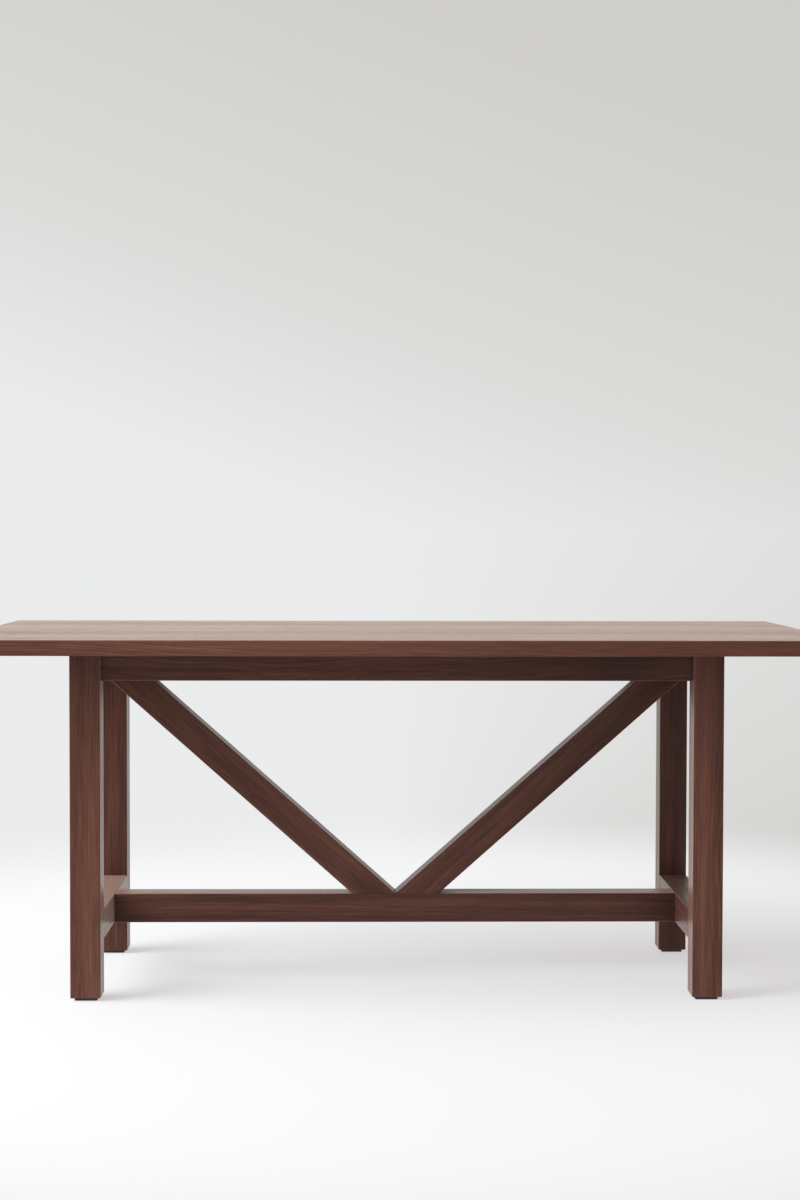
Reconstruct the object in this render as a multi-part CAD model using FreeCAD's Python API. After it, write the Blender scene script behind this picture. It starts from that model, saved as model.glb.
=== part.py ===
import FreeCAD, Part
import math
import os

# A long dining table: a glued-up plank top on a base of square timbers.
# Four legs carry an apron frame, an H-shaped stretcher and a V of two braces in the middle plane.
# Millimetres: +X runs along the table, +Y from the front to the back, +Z up.
# The origin is on the floor, under the middle of the top.

# Overall sizes
table_height = 768.35
top_length = 1828.8
top_width = 914.4
top_thickness = 31.75
end_overhang = 228.6
side_overhang = 177.8

# Plank top: the planks' widths, front to back, as shares of the top's width
plank_width_shares = (0.140, 0.147, 0.143, 0.140, 0.146, 0.139, 0.145)
top_edge_round = 2.5

# Timbers of the base
leg_width = 63.5
apron_thickness = 25.4
apron_height = 63.5
beam_width = 63.5
stretcher_width = 63.5
stretcher_height = 63.5
stretcher_floor_gap = 120.0
brace_width = 63.5
brace_thickness = 63.5
brace_heel_tuck = 6.0
brace_meeting_gap = 0.4
edge_round = 2.0
leg_foot_chamfer = 2.0

# Tenons, with the part of the mortised timber's thickness that each goes into
apron_tenon_thickness = 9.5
apron_tenon_shoulder = 8.0
apron_tenon_web = 2.5
stretcher_tenon_thickness = 20.0
stretcher_tenon_shoulder = 10.0
stretcher_tenon_depth_share = 0.6
beam_tenon_thickness = 16.0
beam_tenon_shoulder = 12.0
beam_tenon_depth_share = 0.6

# Dowels in the braces, placed along each end cut from its tip
dowel_diameter = 12.0
dowel_half_length = 25.0
dowel_chamfer = 1.0
dowel_place_shares = (0.5, 0.76)

# Steel clips that hold the top to the aprons, placed along each apron's clear length
clip_width = 20.0
clip_thickness = 2.0
clip_drop = 11.0
clip_tongue = 8.0
clip_stand_off = 2.0
clip_reach = 26.0
clip_bend_inside = 1.0
clip_corner_round = 4.0
clip_groove_play = 0.8
clip_screw_inset = 15.0
long_apron_clip_shares = (-0.375, -0.125, 0.125, 0.375)
end_apron_clip_shares = (-0.28, 0.28)

# Screws in the clips
screw_diameter = 4.2
screw_length = 18.0
screw_head_diameter = 8.2
screw_head_height = 2.6
screw_head_round = 1.0
screw_hole_play = 0.25
screw_drive_width = 2.8
screw_drive_depth = 1.6

# Levelling feet
foot_width = 48.0
foot_height = 6.05
foot_corner_round = 3.0
foot_rim_round = 1.2
foot_floor = 1.5
swivel_rim = 3.0
swivel_thickness = 1.6
neck_diameter = 9.0
stem_diameter = 10.0
stem_past_insert = 6.0
stem_chamfer = 1.0
collar_flats = 17.0
collar_height = 5.0
collar_chamfer = 0.8
collar_well_play = 1.5
insert_wall = 3.0
insert_length = 25.0
insert_flange_rim = 2.5
insert_flange_thickness = 1.5

# Clearances
glue_gap = 0.15
mortise_end_gap = 1.0
running_gap = 0.3
thread_gap = 0.05
cut_overrun = 5.0

# Directions, with how far a unit direction may stray from an axis and an edge's middle from its place
along_x = FreeCAD.Vector(1, 0, 0)
along_y = FreeCAD.Vector(0, 1, 0)
along_z = FreeCAD.Vector(0, 0, 1)
direction_play = 0.001
place_play = 0.001

# Levels and places that follow from the sizes
base_length = top_length - 2 * end_overhang
base_depth = top_width - 2 * side_overhang
top_underside = table_height - top_thickness
apron_bottom = top_underside - apron_height
apron_middle = top_underside - apron_height / 2
stretcher_top = stretcher_floor_gap + stretcher_height
stretcher_middle = stretcher_floor_gap + stretcher_height / 2
leg_bottom = foot_height + running_gap
leg_centre_x = base_length / 2 - leg_width / 2
leg_centre_y = base_depth / 2 - leg_width / 2
clear_half_length = base_length / 2 - leg_width
clear_half_depth = base_depth / 2 - leg_width
apron_face_x = leg_centre_x - apron_thickness / 2
apron_face_y = leg_centre_y - apron_thickness / 2
stretcher_face_x = leg_centre_x - stretcher_width / 2


# Basic shapes

def around(centre, size):
    """The two ends of a size that is laid evenly about a centre."""
    return (centre - size / 2, centre + size / 2)


def block(x_ends, y_ends, z_ends):
    """A square-edged block between two ends on each axis."""
    corner = FreeCAD.Vector(x_ends[0], y_ends[0], z_ends[0])
    return Part.makeBox(x_ends[1] - x_ends[0], y_ends[1] - y_ends[0], z_ends[1] - z_ends[0], corner)


def rod(diameter, z_ends, x=0, y=0):
    """An upright cylinder."""
    return Part.makeCylinder(diameter / 2, z_ends[1] - z_ends[0], FreeCAD.Vector(x, y, z_ends[0]))


def edges_along(solid, axis, highest=None):
    """The straight edges that run along an axis, or only those whose middle is below a level."""
    found = []
    for edge in solid.Edges:
        strays = edge.tangentAt(edge.FirstParameter).cross(axis).Length > direction_play
        too_high = highest is not None and edge.CenterOfMass.z > highest
        if not strays and not too_high:
            found.append(edge)
    return found


def prism(points, direction):
    """A solid whose section is the outline through the points."""
    face = Part.Face(Part.makePolygon(points + points[:1]))
    return face.extrude(direction)


def rims(solid, level):
    """The edges of an upright solid that lie at one level."""
    return [edge for edge in solid.Edges if abs(edge.CenterOfMass.z - level) < place_play]


def joined(pieces):
    """Several touching shapes as one clean solid."""
    first, *others = pieces
    return first.fuse(others).removeSplitter()


# Rails: aprons, stretchers and the upper beam, each with a tenon at both ends

def rail_block(axis, half_length, across, level, width, height):
    """A block along X or Y, centred on the table along that axis."""
    lengthwise = (-half_length, half_length)
    sideways = around(across, width)
    upright = around(level, height)
    if axis == along_x:
        return block(lengthwise, sideways, upright)
    return block(sideways, lengthwise, upright)


def rail(axis, half_length, across, level, width, height, tenon, eased_to=None):
    """A tenoned rail and the cutter for its two mortises. The tenon is its length, width and height."""
    body = rail_block(axis, half_length, across, level, width, height)
    body = body.makeFillet(edge_round, edges_along(body, axis, eased_to))
    tenon_length, tenon_width, tenon_height = tenon
    tenons = rail_block(axis, half_length + tenon_length, across, level, tenon_width, tenon_height)
    mortises = rail_block(
        axis,
        half_length + tenon_length + mortise_end_gap,
        across,
        level,
        tenon_width + 2 * glue_gap,
        tenon_height + 2 * glue_gap,
    )
    return joined([body, tenons]), mortises


def apron(axis, half_length, across):
    """An apron under the edge of the top, with square upper edges."""
    tenon_length = leg_width / 2 - apron_tenon_thickness / 2 - apron_tenon_web
    tenon = (tenon_length, apron_tenon_thickness, apron_height - 2 * apron_tenon_shoulder)
    return rail(axis, half_length, across, apron_middle, apron_thickness, apron_height, tenon, apron_middle)


def side_stretcher(across):
    """A low rail between the front and back legs of one end."""
    tenon_height = stretcher_height - 2 * stretcher_tenon_shoulder
    tenon = (leg_width * stretcher_tenon_depth_share, stretcher_tenon_thickness, tenon_height)
    return rail(
        along_y, clear_half_depth, across, stretcher_middle, stretcher_width, stretcher_height, tenon
    )


def long_stretcher():
    """The low rail that joins the two side stretchers, with flat tenons that lie along their grain."""
    tenon_width = stretcher_width - 2 * stretcher_tenon_shoulder
    tenon = (stretcher_width * stretcher_tenon_depth_share, tenon_width, stretcher_tenon_thickness)
    return rail(along_x, stretcher_face_x, 0, stretcher_middle, stretcher_width, stretcher_height, tenon)


def centre_beam():
    """The upper rail under the middle of the top, as deep as the aprons, over the heads of the braces."""
    tenon_width = beam_width - 2 * beam_tenon_shoulder
    tenon = (apron_thickness * beam_tenon_depth_share, tenon_width, beam_tenon_thickness)
    return rail(along_x, apron_face_x, 0, apron_middle, beam_width, apron_height, tenon, apron_middle)


# Braces: both ends are cut level, on the stretcher and under the beam

brace_rise = apron_bottom - stretcher_top
brace_heel = apron_face_x + brace_heel_tuck
brace_span = math.hypot(brace_heel - brace_meeting_gap / 2, brace_rise)
brace_chord_angle = math.atan2(brace_rise, brace_heel - brace_meeting_gap / 2)
brace_angle = brace_chord_angle + math.asin(brace_width / brace_span)
brace_cut_length = brace_width / math.sin(brace_angle)


def brace(side):
    """One arm of the V: a bar laid along the slope and cut off level at both ends."""
    overrun = brace_width / math.tan(brace_angle) + cut_overrun
    bar_length = brace_rise / math.sin(brace_angle)
    bar = block((-overrun, bar_length + overrun), around(0, brace_thickness), (-brace_width, 0))
    bar = bar.makeFillet(edge_round, edges_along(bar, along_x))
    bar.rotate(FreeCAD.Vector(), along_y, -math.degrees(brace_angle))
    bar.translate(FreeCAD.Vector(brace_meeting_gap / 2, 0, stretcher_top))
    between_cuts = block(
        (-overrun, brace_heel + overrun),
        around(0, brace_thickness + cut_overrun),
        (stretcher_top, apron_bottom),
    )
    arm = bar.common(between_cuts)
    if side > 0:
        return arm
    return arm.mirror(FreeCAD.Vector(), along_x)


def dowel_places(side):
    """The x and z of each dowel's middle, at the foot and then at the head of one brace."""
    places = []
    for share in dowel_place_shares:
        step = share * brace_cut_length
        places.append((side * (brace_meeting_gap / 2 + step), stretcher_top))
        places.append((side * (brace_heel - step), apron_bottom))
    return places


def dowel(x, z_ends):
    """One dowel, chamfered at both ends."""
    plain = rod(dowel_diameter, z_ends, x)
    return plain.makeChamfer(dowel_chamfer, rims(plain, z_ends[0]) + rims(plain, z_ends[1]))


def dowel_hole(x, z_ends):
    """The hole for one dowel, with room for glue round it and at its ends."""
    ends = (z_ends[0] - mortise_end_gap, z_ends[1] + mortise_end_gap)
    return rod(dowel_diameter + 2 * glue_gap, ends, x)


def at_dowels(make):
    """What a maker makes, a dowel or its hole, at every place in both braces."""
    made = []
    for side in (-1, 1):
        for x, z in dowel_places(side):
            made.append(make(x, around(z, 2 * dowel_half_length)))
    return made


# Clips and their screws, built on an apron face at X = 0 that looks along +X, then turned into place

def on_apron(shape, turn, face_distance, along):
    """A copy of a fitting, moved to its place on the inner face of an apron."""
    placed = shape.copy()
    placed.translate(FreeCAD.Vector(-face_distance, along, top_underside))
    placed.rotate(FreeCAD.Vector(), along_z, turn)
    return placed


def clip_places():
    """The turn, face distance and place along the apron of every clip."""
    places = []
    for share in long_apron_clip_shares:
        places.append((90, apron_face_y, share * 2 * clear_half_length))
        places.append((-90, apron_face_y, share * 2 * clear_half_length))
    for share in end_apron_clip_shares:
        places.append((0, apron_face_x, share * 2 * clear_half_depth))
        places.append((180, apron_face_x, share * 2 * clear_half_depth))
    return places


def bends(strip, places):
    """The edges across a clip that lie at given places of its outline."""
    found = []
    for edge in edges_along(strip, along_y):
        for out, up in places:
            if math.hypot(edge.CenterOfMass.x - out, edge.CenterOfMass.z - up) < place_play:
                found.append(edge)
    return found


def clip():
    """A Z-bent strip: a tongue in the apron's groove and a tab against the top."""
    tongue_bottom = -clip_drop - clip_thickness
    riser_far = clip_stand_off + clip_thickness
    outline = (
        (-clip_tongue, tongue_bottom),
        (riser_far, tongue_bottom),
        (riser_far, -clip_thickness),
        (clip_reach, -clip_thickness),
        (clip_reach, 0),
        (clip_stand_off, 0),
        (clip_stand_off, -clip_drop),
        (-clip_tongue, -clip_drop),
    )
    points = [FreeCAD.Vector(out, -clip_width / 2, up) for out, up in outline]
    strip = prism(points, along_y * clip_width)
    inside_bends = ((riser_far, -clip_thickness), (clip_stand_off, -clip_drop))
    outside_bends = ((riser_far, tongue_bottom), (clip_stand_off, 0))
    strip = strip.makeFillet(clip_bend_inside, bends(strip, inside_bends))
    strip = strip.makeFillet(clip_bend_inside + clip_thickness, bends(strip, outside_bends))
    corners = [edge for edge in edges_along(strip, along_z) if edge.CenterOfMass.x > clip_screw_inset]
    strip = strip.makeFillet(clip_corner_round, corners)
    hole_ends = (-clip_thickness - cut_overrun, cut_overrun)
    return strip.cut(rod(screw_diameter + 2 * screw_hole_play, hole_ends, clip_screw_inset))


def screw():
    """A round-edged screw with a square drive, head down under the clip's tab."""
    head_top = -clip_thickness
    head_bottom = head_top - screw_head_height
    head = rod(screw_head_diameter, (head_bottom, head_top), clip_screw_inset)
    head = head.makeFillet(screw_head_round, rims(head, head_bottom))
    shank = rod(screw_diameter, (head_top, screw_length), clip_screw_inset)
    drive_ends = (head_bottom - cut_overrun, head_bottom + screw_drive_depth)
    drive_sides = around(clip_screw_inset, screw_drive_width)
    drive = block(drive_sides, around(0, screw_drive_width), drive_ends)
    return joined([head, shank]).cut(drive)


def screw_hole():
    """The hole that a clip's screw takes up in the top."""
    ends = (-cut_overrun, screw_length + mortise_end_gap)
    return rod(screw_diameter + 2 * glue_gap, ends, clip_screw_inset)


def clip_groove(axis, half_length, across):
    """The groove along the inner face of an apron that takes the clips' tongues."""
    groove_height = clip_thickness + clip_groove_play
    level = top_underside - clip_drop - groove_height / 2
    depth = clip_tongue + mortise_end_gap
    inner_face = across - math.copysign(apron_thickness / 2, across)
    return rail_block(axis, half_length, inner_face, level, 2 * depth, groove_height)


# Levelling feet: a threaded insert in the leg, a stem that turns in it, and a pad on the stem's swivel

collar_corner_diameter = collar_flats / math.cos(math.radians(30))
insert_diameter = stem_diameter + 2 * insert_wall
insert_flange_diameter = insert_diameter + 2 * insert_flange_rim
well_diameter = max(collar_corner_diameter, insert_flange_diameter) + 2 * collar_well_play
swivel_diameter = neck_diameter + 2 * swivel_rim
collar_top = leg_bottom + collar_height
insert_bottom = collar_top + running_gap
well_top = insert_bottom + insert_flange_thickness
insert_top = well_top + insert_length
stem_top = insert_top + stem_past_insert
swivel_bottom = foot_floor + running_gap
swivel_top = swivel_bottom + swivel_thickness


def foot_bore(x, y):
    """The stepped bore under a leg: the collar's well, the insert's hole and room for the stem."""
    well = rod(well_diameter, (leg_bottom - cut_overrun, well_top), x, y)
    insert_hole = rod(insert_diameter + 2 * glue_gap, (leg_bottom, insert_top + glue_gap), x, y)
    stem_hole = rod(stem_diameter + 2 * running_gap, (leg_bottom, stem_top + mortise_end_gap), x, y)
    return joined([well, insert_hole, stem_hole])


def foot_insert(x, y):
    """A flanged steel insert, pressed into the leg from below."""
    flange = rod(insert_flange_diameter, (insert_bottom, well_top), x, y)
    barrel = rod(insert_diameter, (well_top, insert_top), x, y)
    thread_ends = (insert_bottom - cut_overrun, insert_top + cut_overrun)
    return joined([flange, barrel]).cut(rod(stem_diameter + 2 * thread_gap, thread_ends, x, y))


def foot_stem(x, y):
    """A threaded stem with a hexagon collar for a spanner and a riveted swivel at its foot."""
    swivel = rod(swivel_diameter, (swivel_bottom, swivel_top), x, y)
    neck = rod(neck_diameter, (swivel_top, leg_bottom), x, y)
    corners = []
    for step in range(6):
        turn = math.radians(60 * step)
        corner_x = x + collar_corner_diameter / 2 * math.cos(turn)
        corner_y = y + collar_corner_diameter / 2 * math.sin(turn)
        corners.append(FreeCAD.Vector(corner_x, corner_y, leg_bottom))
    collar_disc = rod(collar_corner_diameter, (leg_bottom, collar_top), x, y)
    collar_rims = rims(collar_disc, leg_bottom) + rims(collar_disc, collar_top)
    collar_disc = collar_disc.makeChamfer(collar_chamfer, collar_rims)
    collar = prism(corners, along_z * collar_height).common(collar_disc)
    shank = rod(stem_diameter, (collar_top, stem_top), x, y)
    shank = shank.makeChamfer(stem_chamfer, rims(shank, stem_top))
    return joined([swivel, neck, collar, shank])


def foot_pad(x, y):
    """A square pad moulded about the stem's swivel."""
    square = block(around(x, foot_width), around(y, foot_width), (0, foot_height))
    square = square.makeFillet(foot_corner_round, edges_along(square, along_z))
    square = square.makeFillet(foot_rim_round, rims(square, 0) + rims(square, foot_height))
    pocket = rod(swivel_diameter + 2 * running_gap, (foot_floor, swivel_top + running_gap), x, y)
    mouth = rod(neck_diameter + 2 * running_gap, (swivel_top, foot_height + cut_overrun), x, y)
    return square.cut(joined([pocket, mouth]))


# Legs

def leg(x, y, cutters):
    """A square leg with eased corners, its mortises and the bore for its foot."""
    square = block(around(x, leg_width), around(y, leg_width), (leg_bottom, top_underside))
    foot_edges = [edge for edge in square.Edges if edge.CenterOfMass.z < leg_bottom + leg_foot_chamfer]
    chamfered = square.makeChamfer(leg_foot_chamfer, foot_edges)
    rounded = square.makeFillet(edge_round, edges_along(square, along_z))
    return rounded.common(chamfered).cut(cutters + [foot_bore(x, y)])


# Plank top

def planks(holes):
    """The top, rounded all round and then cut into its planks, front to back."""
    whole = block(around(0, top_length), around(0, top_width), (top_underside, table_height))
    whole = whole.makeFillet(top_edge_round, whole.Edges)
    reach = top_length + cut_overrun
    rise = (top_underside - cut_overrun, table_height + cut_overrun)
    pieces = []
    front = -top_width / 2
    for share in plank_width_shares:
        back = front + share * top_width / sum(plank_width_shares)
        slab = block(around(0, reach), (front, back), rise)
        pieces.append(whole.common(slab).cut(holes))
        front = back
    return pieces


# Assembly: every node of the table by name

nodes = {}
sides = {"left": -1, "right": 1}
depths = {"front": -1, "back": 1}
leg_cutters = []

# The upper beam, then the aprons that it is tenoned into
nodes["centre_beam"], beam_mortises = centre_beam()
for name, depth in depths.items():
    across = depth * leg_centre_y
    piece, mortises = apron(along_x, clear_half_length, across)
    nodes[name + "_apron"] = piece.cut(clip_groove(along_x, clear_half_length, across))
    leg_cutters.append(mortises)
for name, side in sides.items():
    across = side * leg_centre_x
    piece, mortises = apron(along_y, clear_half_depth, across)
    groove = clip_groove(along_y, clear_half_depth, across)
    nodes[name + "_apron"] = piece.cut([groove, beam_mortises])
    leg_cutters.append(mortises)

# The H-shaped stretcher
nodes["long_stretcher"], stretcher_mortises = long_stretcher()
for name, side in sides.items():
    piece, mortises = side_stretcher(side * leg_centre_x)
    nodes[name + "_side_stretcher"] = piece.cut(stretcher_mortises)
    leg_cutters.append(mortises)

# The V of braces, with dowels into the stretcher below and the beam above
dowel_holes = at_dowels(dowel_hole)
for name, side in sides.items():
    nodes[name + "_brace"] = brace(side).cut(dowel_holes)
nodes["long_stretcher"] = nodes["long_stretcher"].cut(dowel_holes)
nodes["centre_beam"] = nodes["centre_beam"].cut(dowel_holes)
nodes["brace_dowels"] = Part.makeCompound(at_dowels(dowel))

# The legs and their levelling feet
inserts = []
for depth_name, depth in depths.items():
    for side_name, side in sides.items():
        corner = depth_name + "_" + side_name
        x = side * leg_centre_x
        y = depth * leg_centre_y
        nodes[corner + "_leg"] = leg(x, y, leg_cutters)
        nodes[corner + "_foot_stem"] = foot_stem(x, y)
        nodes[corner + "_foot_pad"] = foot_pad(x, y)
        inserts.append(foot_insert(x, y))
nodes["foot_inserts"] = Part.makeCompound(inserts)

# The clips, their screws and the planks that they hold
nodes["top_clips"] = Part.makeCompound([on_apron(clip(), *place) for place in clip_places()])
nodes["top_clip_screws"] = Part.makeCompound([on_apron(screw(), *place) for place in clip_places()])
plank_holes = [on_apron(screw_hole(), *place) for place in clip_places()]
for number, plank in enumerate(planks(plank_holes), 1):
    nodes["top_plank_" + str(number)] = plank

os.makedirs("parts", exist_ok=True)
for name, shape in nodes.items():
    shape.exportStep("parts/" + name + ".step")
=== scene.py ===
import math

import bpy
from mathutils import Euler, Matrix, Vector


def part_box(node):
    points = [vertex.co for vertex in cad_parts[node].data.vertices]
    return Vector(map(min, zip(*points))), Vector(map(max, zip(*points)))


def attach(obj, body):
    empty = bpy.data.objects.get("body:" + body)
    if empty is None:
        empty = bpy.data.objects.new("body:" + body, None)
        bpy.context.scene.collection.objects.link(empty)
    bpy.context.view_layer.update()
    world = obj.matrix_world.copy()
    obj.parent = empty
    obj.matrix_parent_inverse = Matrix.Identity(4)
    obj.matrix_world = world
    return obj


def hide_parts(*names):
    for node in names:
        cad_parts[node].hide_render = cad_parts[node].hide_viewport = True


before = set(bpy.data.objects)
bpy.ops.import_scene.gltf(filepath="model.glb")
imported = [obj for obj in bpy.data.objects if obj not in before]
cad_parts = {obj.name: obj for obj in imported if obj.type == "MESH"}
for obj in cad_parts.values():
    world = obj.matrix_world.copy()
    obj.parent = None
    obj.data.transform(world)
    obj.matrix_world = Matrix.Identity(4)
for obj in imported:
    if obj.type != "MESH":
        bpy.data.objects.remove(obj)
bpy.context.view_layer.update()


# Legs: four square posts of solid walnut, planed, eased along the corners, stained and lacquered to a satin.
# Each is mortised near its head for two aprons and lower down for a side stretcher, and the tenons of these
# are glued in.

class Layer:
    """One value in a finish or a fitting. Arithmetic adds Math nodes, and any other node comes from add."""

    def __init__(self, tree, socket=None):
        self.tree = tree
        self.socket = socket

    def add(self, kind, settings, values, output=0):
        """Adds a node, with its settings first and then a number or a link on each socket named."""
        node = self.tree.nodes.new(kind)
        for name, setting in settings.items():
            if name == "stops":
                while len(node.color_ramp.elements) < len(setting):
                    node.color_ramp.elements.new(1.0)
                for element, (place, colour) in zip(node.color_ramp.elements, setting):
                    element.position = place
                    element.color = (*colour, 1.0)
            else:
                setattr(node, name, setting)
        for name, value in values.items():
            for each in value if isinstance(value, list) else [value]:
                if isinstance(each, Layer):
                    self.tree.links.new(each.socket, node.inputs[name])
                else:
                    node.inputs[name].default_value = each
        return Layer(self.tree, node.outputs[output] if len(node.outputs) else None)

    def parts(self):
        """The three axes of a place or direction."""
        axes = self.add("ShaderNodeSeparateXYZ", {}, {0: self}).socket.node.outputs
        return [Layer(self.tree, axis) for axis in axes]

    def maths(self, operation, *others):
        return self.add("ShaderNodeMath", {"operation": operation}, dict(enumerate((self, *others))))

    def vector_maths(self, operation, *others, output=0):
        settings = {"operation": operation}
        return self.add("ShaderNodeVectorMath", settings, dict(enumerate((self, *others))), output)

    def __add__(self, other):
        return self.maths("ADD", other)

    def __sub__(self, other):
        return self.maths("SUBTRACT", other)

    def __rsub__(self, other):
        return self.maths("MULTIPLY_ADD", -1.0, other)

    def __mul__(self, other):
        return self.maths("MULTIPLY", other)

    def __truediv__(self, other):
        return self.maths("DIVIDE", other)

    def __abs__(self):
        return self.maths("ABSOLUTE")

    __radd__ = __add__
    __rmul__ = __mul__

    def rise(self, low, high):
        """Nought below low, one above high, smooth between them."""
        ends = {"Value": self, "From Min": low, "From Max": high}
        return self.add("ShaderNodeMapRange", {"interpolation_type": "SMOOTHSTEP"}, ends)

    def blend(self, first, second):
        """The first colour where this value is nought, and the second where it is one."""
        return self.add("ShaderNodeMix", {"data_type": "RGBA"}, {0: self, 6: first, 7: second}, 2)

    def noise(self, stretch, shift, detail=2.0):
        """Noise about nought, drawn out by a stretch along each axis."""
        spot = self.vector_maths("MULTIPLY_ADD", stretch, shift)
        values = {"Vector": spot, "Scale": 1.0, "Detail": detail, "Roughness": 0.55}
        return self.add("ShaderNodeTexNoise", {}, values) - 0.5

    def bump(self, strength, distance):
        """The normal of a surface that this value is the height of."""
        values = {"Strength": strength, "Distance": distance, "Height": self}
        return self.add("ShaderNodeBump", {}, values)


def new_finish(name):
    """An empty material, and the place on the surface that its nodes start from."""
    finish = bpy.data.materials.new(name)
    finish.use_nodes = True
    finish.node_tree.nodes.clear()
    return finish, Layer(finish.node_tree).add("ShaderNodeTexCoord", {}, {}, "Object")


def close_finish(place, values):
    """Ends a finish in one shader."""
    shader = place.add("ShaderNodeBsdfPrincipled", {}, values)
    place.add("ShaderNodeOutputMaterial", {}, {"Surface": shader})


usual_bloom = 0.55


def walnut(
    name, centre, half, turn, pith, shade, seed,
    knots=(), bands=(), bloom=usual_bloom, bloom_spread=0.25, edge_shift=0.0, seams=(),
):
    """Stained walnut for one timber. Once turned, its grain runs along X, round a pith beside it.

    The shade makes the whole of it paler or darker: the wood's own tone, and on some timbers painted shade
    as well. The bloom is how far the lacquer pales at a low angle. A knot is a spot, a size and a strength,
    and a band is a level, a spread and a tone.
    """
    finish, place = new_finish(name)
    turned = Euler(turn).to_matrix()
    wood = place.add(
        "ShaderNodeMapping",
        {"vector_type": "POINT"},
        {"Vector": place, "Location": -(turned @ centre), "Rotation": turn},
    )
    along, across, deep = wood.parts()

    def streaks(stretch, number, detail=2.0):
        """Noise drawn out along the grain. Every number and every seed gives its own."""
        shift = (seed * 3.7 + number, seed * 1.9 - number, seed * 0.7 + number * 2.3)
        return wood.noise(stretch, shift, detail)

    knot_stretch = (0.4, 1.0, 1.0)
    swell = 0.0
    for spot, size, strength in knots:
        away = wood.vector_maths("SUBTRACT", spot).vector_maths("MULTIPLY", knot_stretch)
        swell = (1 - away.vector_maths("LENGTH", output="Value").rise(0.0, size)) * strength + swell

    # Growth rings round a wandering pith, pushed aside by the knots, each with a dark late band.
    ring_width = 0.0037
    grain_slope = 0.024
    bow = streaks((1.1, 3.0, 3.0), 1)
    lean = streaks((0.8, 2.0, 2.0), 2)
    sway = streaks((2.4, 8.0, 8.0), 9)
    ripple = streaks((7.0, 26.0, 26.0), 3)
    side = across + pith[0] + bow * 0.06
    down = deep + pith[1] + lean * 0.05 + along * grain_slope
    radius = (side * side + down * down).maths("SQRT") + sway * 0.012 + ripple * 0.003 + swell * 0.02
    rings = radius / ring_width
    ring = rings.maths("FRACT")
    year = rings.maths("FLOOR")
    good_year = year.add("ShaderNodeTexWhiteNoise", {"noise_dimensions": "1D"}, {"W": year}) - 0.5
    late_start, late_end = 0.6, 0.93
    late = ring * 0.3 + ring.rise(late_start, late_end) * 0.7
    late = late * (1 - ring.rise(late_end, 1.0)) * (0.7 + good_year)

    # Stain that varies in broad and narrow streaks and fine threads, over open pores.
    middle_tone = 0.53
    broad = streaks((0.9, 14.0, 14.0), 4)
    streak = streaks((2.6, 75.0, 75.0), 5, 3.0)
    thread = streaks((14.0, 420.0, 420.0), 6)
    pore = streaks((230.0, 3000.0, 3000.0), 7, 1.0).rise(0.08, 0.2) * (1 - ring.rise(0.1, 0.8) * 0.6)
    # The shade shifts the whole tone: the wood's own, and on some timbers painted shade as well.
    depth = middle_tone + shade + broad * 0.55 + streak * 0.48 + thread * 0.55
    depth = depth + good_year * 0.12 - late * 0.27 - swell * 0.3
    for level, spread, tone in bands:
        depth = depth + (1 - abs(deep - level + bow * 0.02).rise(0.0, spread)) * tone
    walnut_tones = (
        (0.0, (0.024, 0.0074, 0.0044)),
        (0.35, (0.069, 0.0234, 0.0146)),
        (0.6, (0.122, 0.0442, 0.0275)),
        (1.0, (0.225, 0.0940, 0.0610)),
    )
    colour = depth.add("ShaderNodeValToRGB", {"stops": walnut_tones}, {0: depth})

    # Pores and sawn ends take up more of the stain.
    pore_brown = (0.012, 0.0045, 0.003, 1.0)
    end_brown = (0.028, 0.0105, 0.0065, 1.0)
    normal = place.add("ShaderNodeTexCoord", {}, {}, "Normal")
    grain_line = turned.inverted() @ Vector((1.0, 0.0, 0.0))
    end_grain = abs(normal.vector_maths("DOT_PRODUCT", grain_line, output="Value")).rise(0.8, 0.97)
    colour = (pore * 0.5).blend(colour, pore_brown)
    colour = (end_grain * 0.5).blend(colour, end_brown)

    # The arrises are a little paler: partly rubbed wear, partly a painted highlight of the eased edges.
    # A glue line is a thin dark one.
    edge_wear_and_highlight_tan = (0.23, 0.115, 0.075, 1.0)
    edge_wear_and_highlight_reach = (0.0006, 0.0032)
    inside = [half[0] - abs(along), half[1] - abs(across + edge_shift), half[2] - abs(deep)]
    farthest = inside[0].maths("MAXIMUM", inside[1]).maths("MAXIMUM", inside[2])
    arris = inside[0] + inside[1] + inside[2] - farthest + ripple * 0.008
    edge_wear_and_highlight = 1 - arris.rise(*edge_wear_and_highlight_reach)
    colour = (edge_wear_and_highlight * 0.1).blend(colour, edge_wear_and_highlight_tan)
    glue_brown = (0.02, 0.0075, 0.005, 1.0)
    glue_reach = (0.0001, 0.0007)
    for seam in seams:
        glue = 1 - abs(across - seam).rise(*glue_reach)
        colour = (glue * 0.6).blend(colour, glue_brown)

    # Satin lacquer, duller along the dark streaks, with the grain just showing through it.
    smudge = streaks((9.0, 14.0, 14.0), 8)
    gloss = 0.31 - streak * 0.4 - broad * 0.2 + late * 0.08 + smudge * 0.08 + pore * 0.14 + end_grain * 0.2
    height = thread * 0.5 + late * 0.15 - pore * 0.7
    lacquer = {
        "Base Color": colour,
        "Roughness": gloss,
        "Normal": height.bump(strength=0.35, distance=0.00012),
        "IOR": 1.30,
        "Sheen Weight": bloom,
        "Sheen Roughness": bloom_spread,
        "Sheen Tint": (1.0, 0.74, 0.60, 1.0),
    }
    close_finish(place, lacquer)
    return finish


def wear(node, finish):
    """Puts a finish on a piece that keeps its CAD shape."""
    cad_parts[node].data.materials.clear()
    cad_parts[node].data.materials.append(finish)


def timber(node, turn, pith, shade, seed, knots=(), bands=(), bloom=usual_bloom):
    """Gives one straight timber its own piece of walnut."""
    low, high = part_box(node)
    half = [abs(size) / 2 for size in Euler(turn).to_matrix() @ (high - low)]
    finish = walnut("walnut_" + node, (low + high) / 2, half, turn, pith, shade, seed, knots, bands, bloom)
    wear(node, finish)


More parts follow.
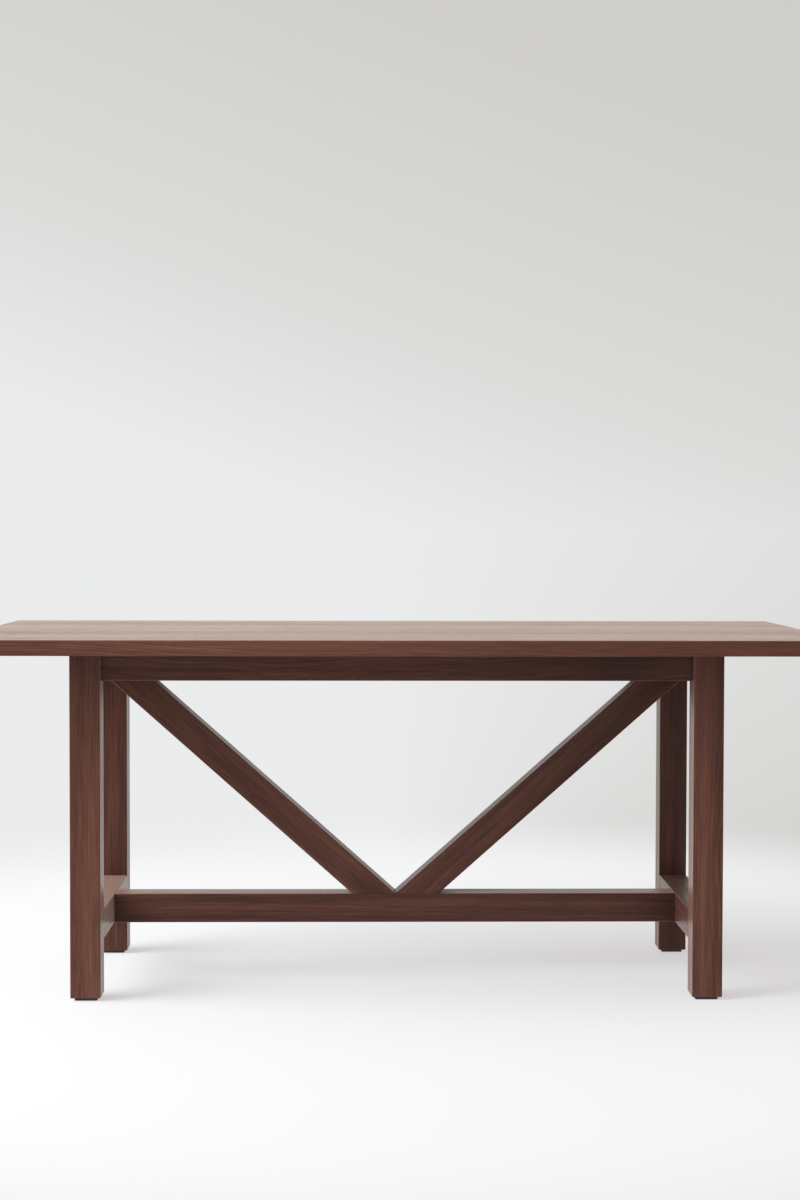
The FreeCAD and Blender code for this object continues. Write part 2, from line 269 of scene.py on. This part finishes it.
upright = (0.0, math.pi / 2, 0.0)
timber("front_left_leg", upright, pith=(0.031, 0.074), shade=0.0, seed=1)
timber("front_right_leg", upright, pith=(-0.042, 0.061), shade=0.0, seed=2, bloom=0.42)
# Painted shade: the back legs get darker shades, as they stand in shadow behind the front legs and aprons.
timber("back_left_leg", upright, pith=(0.055, -0.050), shade=-0.13, seed=3)
timber("back_right_leg", upright, pith=(-0.022, -0.081), shade=-0.11, seed=4)


# Side stretchers: one low walnut rail at each end, as thick as the legs and flush with them.
# Stub tenons at both ends are glued into the front and back legs, and a mortise in the inner face takes the
# long stretcher.

crosswise = (0.0, 0.0, -math.pi / 2)
timber("left_side_stretcher", crosswise, pith=(0.048, 0.066), shade=0.0, seed=5)
# Painted shade: the right side stretcher is darker and has little bloom, as it stands on the shaded side.
timber("right_side_stretcher", crosswise, pith=(-0.037, 0.071), shade=-0.08, seed=6, bloom=0.12)


# Aprons: four thin walnut boards under the top, set back from the outer faces of the legs and tenoned into
# them. The upper edges are left square against the top, and a groove inside takes the clips that hold it.

lengthwise = (0.0, 0.0, 0.0)
apron_knot = (Vector((0.47, -0.0127, 0.0)), 0.06, 0.5)
# Painted shade: the front apron gets a darker shade, as it stands in shade under the overhang of the top.
timber("front_apron", lengthwise, pith=(0.085, 0.030), shade=-0.08, seed=7, knots=[apron_knot])
timber("back_apron", lengthwise, pith=(-0.090, -0.024), shade=-0.02, seed=8)
timber("left_apron", crosswise, pith=(0.092, 0.026), shade=0.0, seed=9)
timber("right_apron", crosswise, pith=(-0.088, 0.033), shade=0.0, seed=10)


# Long stretcher and upper beam: two square walnut rails in the middle plane, one low between the side
# stretchers and one under the top between the end aprons. Both are tenoned in, and the braces stand between
# them.

# Painted shade: the long stretcher gets a darker shade for the shade it stands in, and the knot at its right
# end is painted shadow of the right leg that also bends the rings there.
stretcher_shade_knot = (Vector((0.66, 0.0, 0.0)), 0.09, 1.0)
pale_band = (0.003, 0.017, 0.12)
timber(
    "long_stretcher", lengthwise, pith=(0.052, 0.070), shade=-0.13, seed=11,
    knots=[stretcher_shade_knot], bands=[pale_band],
)
timber("centre_beam", lengthwise, pith=(0.045, -0.064), shade=-0.02, seed=12)


# Braces: two walnut bars that stand in a V on the middle of the long stretcher and rise towards the ends of
# the beam. Both ends are cut level and doweled, so the bars show long grain right up to the cuts.

brace_side = 0.0635
brace_knot = (Vector((-0.375, -0.030, 0.005)), 0.045, 0.7)
# Painted shade: the braces get darker shades, the right one most, for the shade they stand in under the top.
for node, side, pith, shade, seed, bloom, knots in (
    ("left_brace", -1, (0.058, 0.066), -0.03, 13, 0.45, [brace_knot]),
    ("right_brace", 1, (-0.046, 0.072), -0.12, 14, 0.35, []),
):
    low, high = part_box(node)
    span = high - low
    slope = math.atan2(span.z, span.x) + math.asin(brace_side / math.hypot(span.x, span.z))
    turn = (0.0, slope if side > 0 else math.pi - slope, 0.0)
    centre = (low + high) / 2
    half = (span.length, brace_side / 2, brace_side / 2)
    brace_finish = walnut("walnut_" + node, centre, half, turn, pith, shade, seed, knots, bloom=bloom)
    wear(node, brace_finish)


# Dowels: eight beech pins, two in each end of each brace, glued into the stretcher below and the beam above.
# They are turned, compressed and chamfered, and none of them shows once the joint is closed.

beech, place = new_finish("beech")
brown_beech = (0.44, 0.27, 0.145, 1.0)
pale_beech = (0.58, 0.40, 0.25, 1.0)
fleck_brown = (0.27, 0.14, 0.07, 1.0)
fleck = place.noise((900.0, 900.0, 160.0), (1.0, 2.0, 3.0)).rise(0.08, 0.2)
flow = place.noise((260.0, 260.0, 12.0), (4.0, 5.0, 6.0))
beech_colour = (0.5 + flow * 1.6).blend(brown_beech, pale_beech)
beech_colour = (fleck * 0.5).blend(beech_colour, fleck_brown)
beech_bump = (flow - fleck * 0.4).bump(strength=0.4, distance=0.0001)
close_finish(place, {"Base Color": beech_colour, "Roughness": 0.62 + flow * 0.2, "Normal": beech_bump})
wear("brace_dowels", beech)


# Levelling feet: a flanged insert pressed into each leg, a threaded stem with a hexagon collar and a riveted
# swivel, and a square pad. Insert and stem are zinc-plated steel, and the pad is black nylon moulded round
# the swivel.

def zinc_plate(name, seed):
    """Bright zinc on turned steel: cloudy, with fine drawn lines and small dull spots."""
    finish, place = new_finish(name)
    cloudy_zinc = (0.46, 0.47, 0.49, 1.0)
    bright_zinc = (0.68, 0.68, 0.67, 1.0)
    dull_zinc = (0.34, 0.34, 0.34, 1.0)
    cloud = place.noise((160.0, 160.0, 160.0), (seed, 2.0, 5.0), 3.0)
    drawn = place.noise((300.0, 300.0, 3000.0), (7.0, seed, 1.0))
    dull = place.noise((700.0, 700.0, 700.0), (3.0, 9.0, seed)).rise(0.1, 0.22)
    colour = (0.5 + cloud * 1.8).blend(cloudy_zinc, bright_zinc)
    colour = (dull * 0.35).blend(colour, dull_zinc)
    gloss = 0.34 + cloud * 0.25 + dull * 0.2 + drawn * 0.15
    bump = drawn.bump(strength=0.25, distance=0.00005)
    close_finish(place, {"Base Color": colour, "Metallic": 1.0, "Roughness": gloss, "Normal": bump})
    return finish


def show(name, mesh, body, node):
    """A finished piece that stands for a CAD node and moves with a body."""
    crease = math.radians(35)
    mesh.polygons.foreach_set("use_smooth", [True] * len(mesh.polygons))
    mesh.set_sharp_from_angle(angle=crease)
    piece = bpy.data.objects.new(name, mesh)
    bpy.context.scene.collection.objects.link(piece)
    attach(piece, body)
    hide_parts(node)


def new_fitting(name, sizes):
    """A Geometry Nodes tree with a named input for each size."""
    tree = bpy.data.node_groups.new(name, "GeometryNodeTree")
    tree.interface.new_socket("Geometry", in_out="INPUT", socket_type="NodeSocketGeometry")
    for label, size in sizes.items():
        kind = "NodeSocketVector" if isinstance(size, tuple) else "NodeSocketFloat"
        tree.interface.new_socket(label, in_out="INPUT", socket_type=kind)
    tree.interface.new_socket("Geometry", in_out="OUTPUT", socket_type="NodeSocketGeometry")
    start = Layer(tree)
    sockets = start.add("NodeGroupInput", {}, {}).socket.node.outputs
    return tree, start, {socket.name: Layer(tree, socket) for socket in sockets if socket.name}


def close_fitting(start, shape, finish):
    """Ends a fitting's tree in one plain mesh of one material."""
    loose = start.add("GeometryNodeRealizeInstances", {}, {"Geometry": shape})
    coated = start.add("GeometryNodeSetMaterial", {}, {"Geometry": loose, "Material": finish})
    start.add("NodeGroupOutput", {}, {"Geometry": coated})


def make_fitting(name, tree, points, sizes):
    """Runs a fitting's tree on some points and returns the mesh that comes out."""
    marks = bpy.data.meshes.new(name)
    marks.from_pydata(points, [], [])
    holder = bpy.data.objects.new(name + "_maker", marks)
    bpy.context.scene.collection.objects.link(holder)
    modifier = holder.modifiers.new("maker", "NODES")
    modifier.node_group = tree
    for socket in tree.interface.items_tree:
        if socket.in_out == "INPUT" and socket.name in sizes:
            modifier[socket.identifier] = sizes[socket.name]
    mesh = bpy.data.meshes.new_from_object(holder.evaluated_get(bpy.context.evaluated_depsgraph_get()))
    mesh.name = name
    bpy.data.objects.remove(holder)
    return mesh


def moved(start, shape, shift, scale=(1.0, 1.0, 1.0)):
    return start.add("GeometryNodeTransform", {}, {"Geometry": shape, "Translation": shift, "Scale": scale})


def upward(start, height):
    return start.add("ShaderNodeCombineXYZ", {}, {"Z": height})


def round_bar(start, radius, length, bottom, sides=48, rows=1):
    """A plain bar that stands on a level."""
    values = {"Vertices": sides, "Side Segments": rows, "Radius": radius, "Depth": length}
    bar = start.add("GeometryNodeMeshCylinder", {"fill_type": "NGON"}, values, "Mesh")
    return moved(start, bar, upward(start, bottom + length * 0.5))


def drawn_in(start, bar, place, share):
    """Draws the points of a bar in towards its axis, each to a share of its distance."""
    x, y, z = place
    spot = start.add("ShaderNodeCombineXYZ", {}, {"X": x * share, "Y": y * share, "Z": z})
    return start.add("GeometryNodeSetPosition", {}, {"Geometry": bar, "Position": spot})


def threaded_bar(start, radius, length, pitch, cut, bottom, sides=36):
    """A bar with a right-hand thread cut into it, run out at both ends."""
    rows_per_turn = 8.0
    flank = (0.12, 0.88)
    first_run_out, last_run_out = 1.0, 1.2
    turns = length / pitch
    bar = round_bar(start, radius, length, bottom, sides, turns * rows_per_turn)
    x, y, z = start.add("GeometryNodeInputPosition", {}, {}).parts()
    climb = (z - bottom) / pitch
    phase = (climb - y.maths("ARCTAN2", x) / (2 * math.pi)).maths("FRACT")
    crest = abs(phase * 2.0 - 1.0).rise(*flank)
    crest = crest * climb.rise(0.0, first_run_out) * (turns - climb).rise(0.0, last_run_out)
    return drawn_in(start, bar, (x, y, z), 1 - (1 - crest) * cut / radius)


def carved(start, operation, shapes):
    """What is left of two solids, by an exact boolean."""
    settings = {"operation": operation, "solver": "EXACT"}
    return start.add("GeometryNodeMeshBoolean", settings, shapes, "Mesh")


stem_sizes = {
    "Place": (0.0, 0.0, 0.0),
    "Swivel Radius": 0.0075,
    "Swivel Thickness": 0.0016,
    "Swivel Bottom": 0.0018,
    "Neck Radius": 0.0045,
    "Collar Corner Radius": 0.009815,
    "Collar Height": 0.005,
    "Collar Bottom": 0.00635,
    "Shank Radius": 0.005,
    "Shank Length": 0.0328,
    "Pitch": 0.0015,
    "Thread Depth": 0.00085,
}
stem_tree, start, size = new_fitting("threaded_stem", stem_sizes)
swivel = round_bar(start, size["Swivel Radius"], size["Swivel Thickness"], size["Swivel Bottom"])
collar_radius, collar_height = size["Collar Corner Radius"], size["Collar Height"]
collar_bottom = size["Collar Bottom"]
neck_length = collar_bottom - size["Swivel Bottom"]
neck = round_bar(start, size["Neck Radius"], neck_length, size["Swivel Bottom"])
hexagon = round_bar(start, collar_radius, collar_height, collar_bottom, sides=6)
ball = start.add("GeometryNodeMeshUVSphere", {}, {"Segments": 48, "Rings": 24, "Radius": 1.0}, "Mesh")
ball_half = collar_height * 1.07
ball_radius = collar_radius * 1.005
ball_scale = start.add("ShaderNodeCombineXYZ", {}, {"X": ball_radius, "Y": ball_radius, "Z": ball_half})
ball = moved(start, ball, upward(start, collar_bottom + collar_height * 0.5), ball_scale)
collar = carved(start, "INTERSECT", {"Mesh 2": [hexagon, ball]})
shank_bottom = collar_bottom + collar_height
shank = threaded_bar(
    start, size["Shank Radius"], size["Shank Length"], size["Pitch"], size["Thread Depth"], shank_bottom
)
stem_shape = start.add("GeometryNodeJoinGeometry", {}, {"Geometry": [swivel, neck, collar, shank]})
close_fitting(start, moved(start, stem_shape, size["Place"]), zinc_plate("zinc_stem", 1.0))

nylon, place = new_finish("black_nylon")
deep_black = (0.010, 0.010, 0.0105, 1.0)
spark_black = (0.022, 0.0215, 0.021, 1.0)
scuff_grey = (0.10, 0.098, 0.094, 1.0)
spark = place.noise((2600.0, 2600.0, 2600.0), (1.0, 4.0, 2.0))
near_ground = 1 - place.parts()[2].rise(0.0008, 0.0028)
scuff = place.noise((420.0, 420.0, 120.0), (8.0, 3.0, 5.0)).rise(0.05, 0.25) * near_ground
nylon_colour = (0.5 + spark * 1.5).blend(deep_black, spark_black)
nylon_colour = (scuff * 0.6).blend(nylon_colour, scuff_grey)
nylon_gloss = 0.5 + spark * 0.25 + scuff * 0.15
nylon_bump = spark.bump(strength=0.5, distance=0.00008)
close_finish(place, {"Base Color": nylon_colour, "Roughness": nylon_gloss, "Normal": nylon_bump})

pad_half = 0.024
pad_height = 0.00605
pad_corner_round = 0.003
least_corner_round = 0.0004
side_steps = 12
corner_steps = 6


def square_row(inset, height):
    """Points round the pad at one height, drawn in from its outline."""
    half = pad_half - inset
    corner = max(pad_corner_round - inset, least_corner_round)
    flat = half - corner
    side = [(half, flat * (2 * step / side_steps - 1)) for step in range(side_steps)]
    bends = [math.radians(90 / corner_steps * step) for step in range(corner_steps)]
    side += [(flat + corner * math.cos(bend), flat + corner * math.sin(bend)) for bend in bends]
    turns = ((1, 0), (0, 1), (-1, 0), (0, -1))
    return [(u * cos - v * sin, u * sin + v * cos, height) for cos, sin in turns for u, v in side]


def round_row(radius, height):
    """Points of a circle, in the same directions as those of the outline."""
    bearings = [math.atan2(back, right) for right, back, _ in square_row(0.0, height)]
    return [(radius * math.cos(bearing), radius * math.sin(bearing), height) for bearing in bearings]


hollow_height = 0.0004
socket_floor = 0.0015
pad_rows = [[(0.0, 0.0, hollow_height)]]
pad_rows += [
    square_row(inset, height)
    for inset, height in (
        (0.0060, hollow_height),
        (0.0056, 0.0),
        (0.0016, 0.0),
        (0.0008, 0.0002),
        (0.0002, 0.0007),
        (0.0, 0.0013),
        (0.0001, 0.0043),
        (0.0003, 0.0049),
        (0.0008, 0.0053),
        (0.0016, 0.0055),
        (0.0060, 0.0056),
    )
]
pad_rows += [
    round_row(radius, height)
    for radius, height in (
        (0.0106, 0.0057),
        (0.0102, 0.0053),
        (0.0093, 0.0053),
        (0.0089, 0.0058),
        (0.0084, pad_height),
        (0.0053, pad_height),
        (0.0048, 0.0057),
        (0.0048, 0.0037),
        (0.0078, 0.0037),
        (0.0078, socket_floor),
    )
]
pad_rows += [[(0.0, 0.0, socket_floor)]]


def moulded(name, rows, x, y):
    """A moulding made of rows of points, from the middle of its underside to the floor of its socket."""
    points, places, faces = [], [], []
    for row in rows:
        places.append(range(len(points), len(points) + len(row)))
        points += [(x + right, y + back, height) for right, back, height in row]
    for lower, upper in zip(places, places[1:]):
        for step in range(max(len(lower), len(upper))):
            corners = [lower[step % len(lower)], lower[(step + 1) % len(lower)]]
            corners += [upper[(step + 1) % len(upper)], upper[step % len(upper)]]
            faces.append(list(dict.fromkeys(corners)))
    mesh = bpy.data.meshes.new(name)
    mesh.from_pydata(points, [], faces)
    return mesh


for corner in ("front_left", "front_right", "back_left", "back_right"):
    low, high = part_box(corner + "_foot_pad")
    x, y, _ = (low + high) / 2
    stem_sizes["Place"] = (x, y, 0.0)
    stem = make_fitting(corner + "_threaded_stem", stem_tree, [(0.0, 0.0, 0.0)], stem_sizes)
    show(corner + "_threaded_stem", stem, corner + "_stem", corner + "_foot_stem")
    pad = moulded(corner + "_moulded_pad", pad_rows, x, y)
    pad.materials.append(nylon)
    show(corner + "_moulded_pad", pad, corner + "_pad", corner + "_foot_pad")
wear("foot_inserts", zinc_plate("zinc_insert", 2.0))


# Top: seven walnut planks, edge-glued into one slab, planed flush, eased all round and lacquered.
# Every plank is its own board, so the figure and the tone change at each glue line.

planks = (
    ((0.012, 0.058), 0.03),
    ((-0.040, 0.071), 0.11),
    ((0.026, -0.049), -0.04),
    ((-0.008, 0.066), 0.06),
    ((0.051, -0.060), 0.12),
    ((0.018, 0.054), -0.02),
    ((-0.033, -0.068), 0.08),
)
top_half_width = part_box("top_plank_7")[1].y
for number, (pith, shade) in enumerate(planks, 1):
    node = "top_plank_" + str(number)
    low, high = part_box(node)
    centre, size = (low + high) / 2, high - low
    plank_finish = walnut(
        "walnut_" + node,
        centre,
        half=(size.x / 2, top_half_width, size.z / 2),
        turn=lengthwise,
        pith=pith,
        shade=shade,
        seed=20 + number,
        bloom=0.37 + shade * 0.6,
        bloom_spread=0.17,
        edge_shift=centre.y,
        seams=[side * size.y / 2 for side in (-1, 1) if 1 <= number + side <= len(planks)],
    )
    wear(node, plank_finish)


# Clips and screws: twelve Z-bent strips of zinc-plated steel that reach from the groove in the aprons to the
# top, with one screw up through each into the top. The clips slide in the groove as the top moves with the
# seasons.

wear("top_clips", zinc_plate("zinc_clip", 3.0))
screw_sizes = {
    "Head Radius": 0.0041,
    "Head Height": 0.0026,
    "Drive Width": 0.0028,
    "Drive Depth": 0.0016,
    "Clip Thickness": 0.002,
    "Shank Radius": 0.0021,
    "Shank Length": 0.016,
    "Tip Length": 0.004,
    "Pitch": 0.0016,
    "Thread Depth": 0.0006,
}
shank_sides = 20
head_dome = 0.7
screw_tree, start, size = new_fitting("clip_screw", screw_sizes)
head_bottom = (size["Clip Thickness"] + size["Head Height"]) * -1.0
head = round_bar(start, size["Head Radius"], size["Head Height"], head_bottom, sides=40, rows=8)
x, y, z = start.add("GeometryNodeInputPosition", {}, {}).parts()
fall = 1 - (z - head_bottom) / size["Head Height"]
head = drawn_in(start, head, (x, y, z), (1 - fall * fall * fall * head_dome).maths("SQRT"))
key_sides = {"X": size["Drive Width"], "Y": size["Drive Width"], "Z": size["Drive Depth"] * 2.0}
key_size = start.add("ShaderNodeCombineXYZ", {}, key_sides)
key = start.add("GeometryNodeMeshCube", {}, {"Size": key_size}, "Mesh")
key = moved(start, key, upward(start, head_bottom))
head = carved(start, "DIFFERENCE", {"Mesh 1": head, "Mesh 2": key})
shank_bottom = size["Clip Thickness"] * -1.0
shank = threaded_bar(
    start, size["Shank Radius"], size["Shank Length"], size["Pitch"], size["Thread Depth"],
    shank_bottom, shank_sides,
)
tip_values = {
    "Vertices": shank_sides,
    "Radius Top": 0.0002,
    "Radius Bottom": size["Shank Radius"] - size["Thread Depth"],
    "Depth": size["Tip Length"],
}
tip = start.add("GeometryNodeMeshCone", {"fill_type": "NGON"}, tip_values, "Mesh")
tip = moved(start, tip, upward(start, shank_bottom + size["Shank Length"]))
screw = start.add("GeometryNodeJoinGeometry", {}, {"Geometry": [head, shank, tip]})
twist = start.add(
    "FunctionNodeRandomValue",
    {"data_type": "FLOAT_VECTOR"},
    {0: (0.0, 0.0, 0.0), 1: (0.0, 0.0, 2 * math.pi), "Seed": 7},
)
screws = start.add(
    "GeometryNodeInstanceOnPoints", {}, {"Points": size["Geometry"], "Instance": screw, "Rotation": twist}
)
close_fitting(start, screws, zinc_plate("zinc_screw", 4.0))

clip_screw_inset = 0.015
long_shares = (-0.375, -0.125, 0.125, 0.375)
end_shares = (-0.28, 0.28)
long_clear = 2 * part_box("front_right_leg")[0].x
end_clear = 2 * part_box("back_right_leg")[0].y
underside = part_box("top_plank_1")[0].z
long_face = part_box("front_apron")[1].y + clip_screw_inset
end_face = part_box("left_apron")[1].x + clip_screw_inset
places = []
for share in long_shares:
    places += [(share * long_clear, long_face, underside), (share * long_clear, -long_face, underside)]
for share in end_shares:
    places += [(end_face, share * end_clear, underside), (-end_face, share * end_clear, underside)]
screw_mesh = make_fitting("clip_screw_set", screw_tree, places, screw_sizes)
show("clip_screw_set", screw_mesh, "frame", "top_clip_screws")


# Floor, light and camera: a pale studio floor that runs out into a light grey ground, and is clear from
# below. Soft daylight comes from all round and most from the left, with one large window lamp there, and the
# camera stands where the photograph was taken.

def studio_ground(heading):
    """The tone of the studio in a direction: pale behind the table, quieter in front of it and overhead."""
    rightward, backward, skyward = heading.parts()
    wall_tones = (
        (0.0, (0.83, 0.835, 0.84)),
        (0.10, (0.715, 0.712, 0.705)),
        (0.25, (0.63, 0.622, 0.61)),
        (1.0, (0.55, 0.55, 0.54)),
    )
    pale_front = (0.70, 0.70, 0.70, 1.0)
    grey_front = (0.58, 0.58, 0.58, 1.0)
    wall = skyward.add("ShaderNodeValToRGB", {"stops": wall_tones}, {0: skyward + 0.35 * rightward})
    front = rightward.rise(-0.5, 0.5).blend(pale_front, grey_front)
    return backward.rise(-0.9, 0.3).blend(front, wall)


floor_reach = 400.0
floor_paint = (0.80, 0.80, 0.795, 1.0)
floor_light = (0.88, 0.855, 0.845, 1.0)
light_share = 0.6
fade_start, fade_end = 1.3, 2.7
floor_corners = [(x * floor_reach, y * floor_reach, 0.0) for x, y in ((-1, -1), (1, -1), (1, 1), (-1, 1))]
floor_mesh = bpy.data.meshes.new("floor")
floor_mesh.from_pydata(floor_corners, [], [(0, 1, 2, 3)])
floor = bpy.data.objects.new("floor", floor_mesh)
bpy.context.scene.collection.objects.link(floor)
floor_finish, place = new_finish("studio_floor")
fade = place.vector_maths("LENGTH", output="Value").rise(fade_start, fade_end)
floor_glow = fade.blend(floor_light, studio_ground(place.vector_maths("NORMALIZE")))
painted = place.add("ShaderNodeBsdfDiffuse", {}, {"Color": floor_paint})
glowing = place.add("ShaderNodeEmission", {}, {"Color": floor_glow})
from_above = {0: light_share + fade * (1 - light_share), 1: painted, 2: glowing}
floor_shader = place.add("ShaderNodeMixShader", {}, from_above)
below = place.add("ShaderNodeNewGeometry", {}, {}, "Backfacing")
clear = place.add("ShaderNodeBsdfTransparent", {}, {})
floor_shader = place.add("ShaderNodeMixShader", {}, {0: below, 1: floor_shader, 2: clear})
place.add("ShaderNodeOutputMaterial", {}, {"Surface": floor_shader})
floor_mesh.materials.append(floor_finish)

left_daylight = (1.08, 1.14, 1.20, 1.0)
right_daylight = (0.28, 0.275, 0.27, 1.0)
world = bpy.data.worlds.new("studio")
world.use_nodes = True
world.node_tree.nodes.clear()
start = Layer(world.node_tree)
heading = start.add("ShaderNodeTexCoord", {}, {}, "Generated")
ground = studio_ground(heading)
daylight = heading.parts()[0].rise(-1.0, 1.0).blend(left_daylight, right_daylight)
ray = start.add("ShaderNodeLightPath", {}, {}).socket.node.outputs
seen = Layer(start.tree, ray["Is Camera Ray"]) + Layer(start.tree, ray["Is Glossy Ray"])
seen = (seen + Layer(start.tree, ray["Is Transmission Ray"])).rise(0.0, 1.0)
glow = seen.blend(daylight, ground)
sky = start.add("ShaderNodeBackground", {}, {"Color": glow, "Strength": 1.0})
start.add("ShaderNodeOutputWorld", {}, {"Surface": sky})
bpy.context.scene.world = world

window_place = Vector((-4.0, -1.2, 2.4))
window_aim = Vector((-0.2, 0.0, 0.45))
window_side = 4.0
window = bpy.data.lights.new("left_window", "AREA")
window.shape = "RECTANGLE"
window.size, window.size_y = window_side, window_side
window.energy = 120.0
window.spread = math.radians(75)
window.color = (0.93, 0.985, 1.02)
window_stand = bpy.data.objects.new("left_window", window)
window_stand.location = window_place
window_stand.rotation_euler = (window_aim - window_place).to_track_quat("-Z", "Y").to_euler()
window_stand.visible_glossy = False
bpy.context.scene.collection.objects.link(window_stand)

camera_place = (-0.074012, -4.611207, 0.989343)
camera = bpy.data.cameras.new("camera")
camera.lens = 62.235
camera.sensor_width = 36.0
yaw, pitch, roll = (math.radians(angle) for angle in (1.038, 1.923, 0.112))
level_ahead = Vector((math.sin(yaw), math.cos(yaw), 0.0))
level_right = Vector((math.cos(yaw), -math.sin(yaw), 0.0))
straight_up = Vector((0.0, 0.0, 1.0))
ahead = level_ahead * math.cos(pitch) - straight_up * math.sin(pitch)
above = straight_up * math.cos(pitch) + level_ahead * math.sin(pitch)
rolled_right = level_right * math.cos(roll) + above * math.sin(roll)
rolled_above = above * math.cos(roll) - level_right * math.sin(roll)
facing = Matrix((rolled_right, rolled_above, -ahead)).transposed().to_4x4()
camera_stand = bpy.data.objects.new("camera", camera)
camera_stand.matrix_world = Matrix.Translation(camera_place) @ facing
bpy.context.scene.collection.objects.link(camera_stand)
bpy.context.scene.camera = camera_stand
bpy.context.scene.view_settings.view_transform = "Standard"
